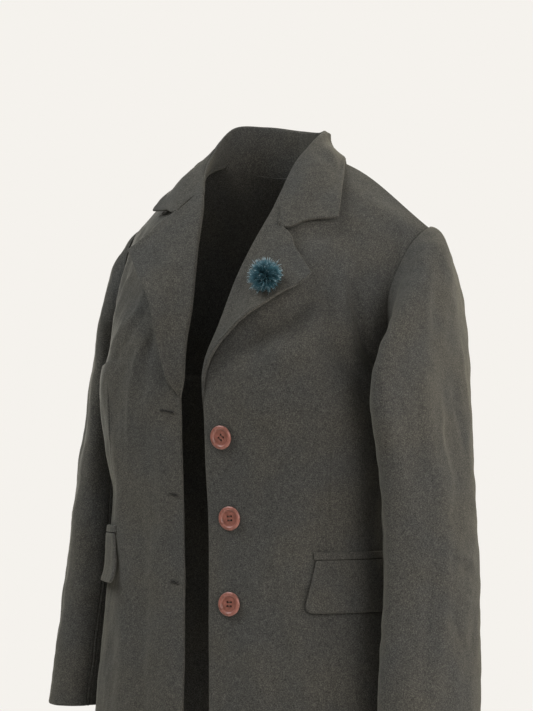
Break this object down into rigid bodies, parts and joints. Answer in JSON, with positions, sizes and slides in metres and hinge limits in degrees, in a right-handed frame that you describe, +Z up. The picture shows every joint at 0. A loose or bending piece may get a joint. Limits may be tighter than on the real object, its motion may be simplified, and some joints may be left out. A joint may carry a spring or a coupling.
{
  "type": "wool coat",
  "caption": "Woman's single-breasted wool coat worn open, with notched lapels, flap pockets, buttons down one front and a fur pompom on the lapel.",
  "frame": {"origin": "midway between the two side neck points, where the coat rests on the wearer's shoulders", "axes": "+Z up, the coat faces -Y, the wearer's left is +X"},
  "size_m": [0.5804, 0.323, 0.9917],
  "materials": {
    "wool_body": "dark olive-grey fulled wool with a short nap",
    "wool_sleeve": "dark olive-grey fulled wool with a short nap",
    "wool_collar": "dark olive-grey fulled wool, faced",
    "wool_pocket": "dark olive-grey fulled wool",
    "buttons": "brown-pink moulded button with a satin shine",
    "fur": "teal dyed fur"
  },
  "bodies": {
    "root": {"back": "wool_body", "front_left": "wool_body", "front_right": "wool_body", "sleeve_left": "wool_sleeve", "sleeve_right": "wool_sleeve", "collar": "wool_collar", "lapel_left": "wool_collar", "lapel_right": "wool_collar", "flap_left": "wool_pocket", "flap_right": "wool_pocket", "welt_left": "wool_pocket", "welt_right": "wool_pocket", "button_1": "buttons", "button_2": "buttons", "button_3": "buttons", "pompom": "fur"}
  },
  "joints": []
}
